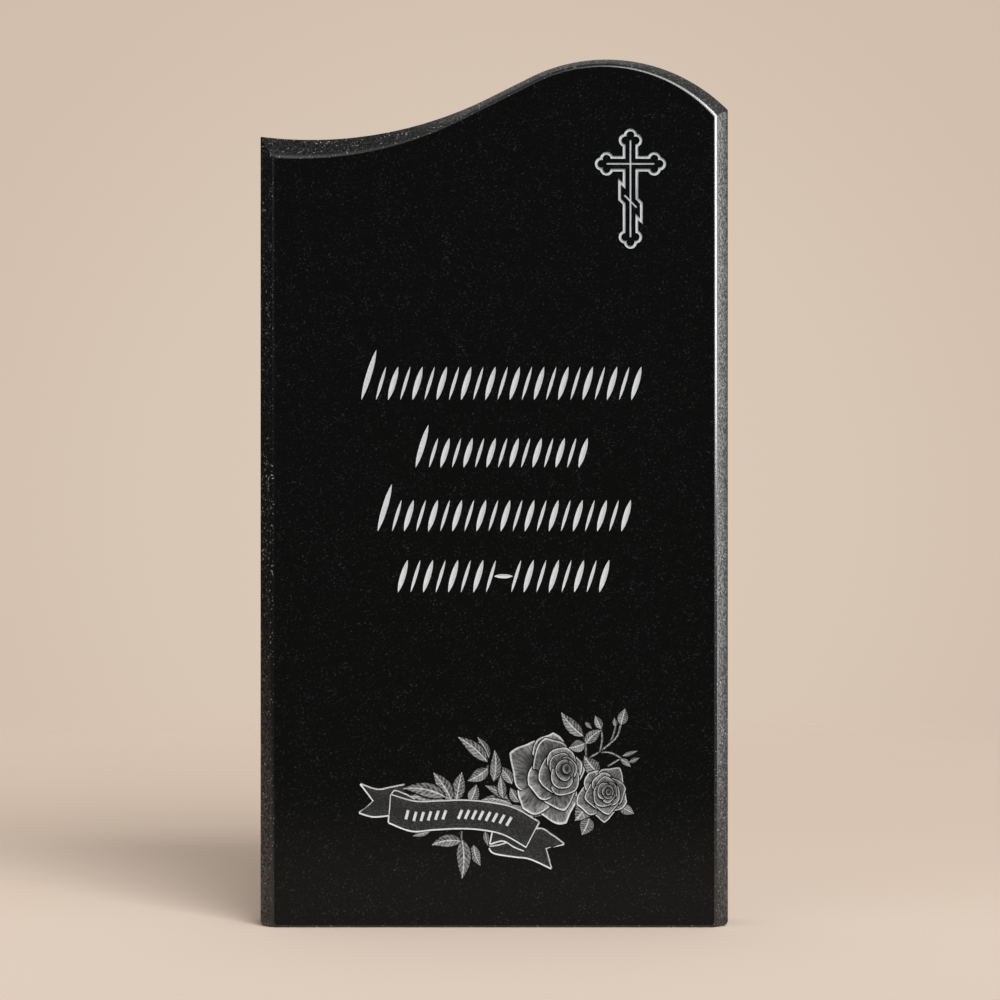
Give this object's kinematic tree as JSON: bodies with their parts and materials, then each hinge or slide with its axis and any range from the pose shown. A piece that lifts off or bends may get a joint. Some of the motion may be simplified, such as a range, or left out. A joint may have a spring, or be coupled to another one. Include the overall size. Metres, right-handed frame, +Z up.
{
  "type": "headstone",
  "caption": "Upright slab headstone with a wave top, a chamfered polished face and an engraved cross, stroke rows and rose spray; stands on its flat base.",
  "frame": {"origin": "middle of the underside, which rests on the ground or on a base", "axes": "+Z up, the carved face towards -Y, +X to the right of someone who faces the carving"},
  "size_m": [0.5, 0.08, 0.927],
  "materials": {
    "black_granite": "polished face with fine flecks, honed chamfer, light grey where it is cut"
  },
  "bodies": {
    "root": {"stele": "black_granite"}
  },
  "joints": []
}
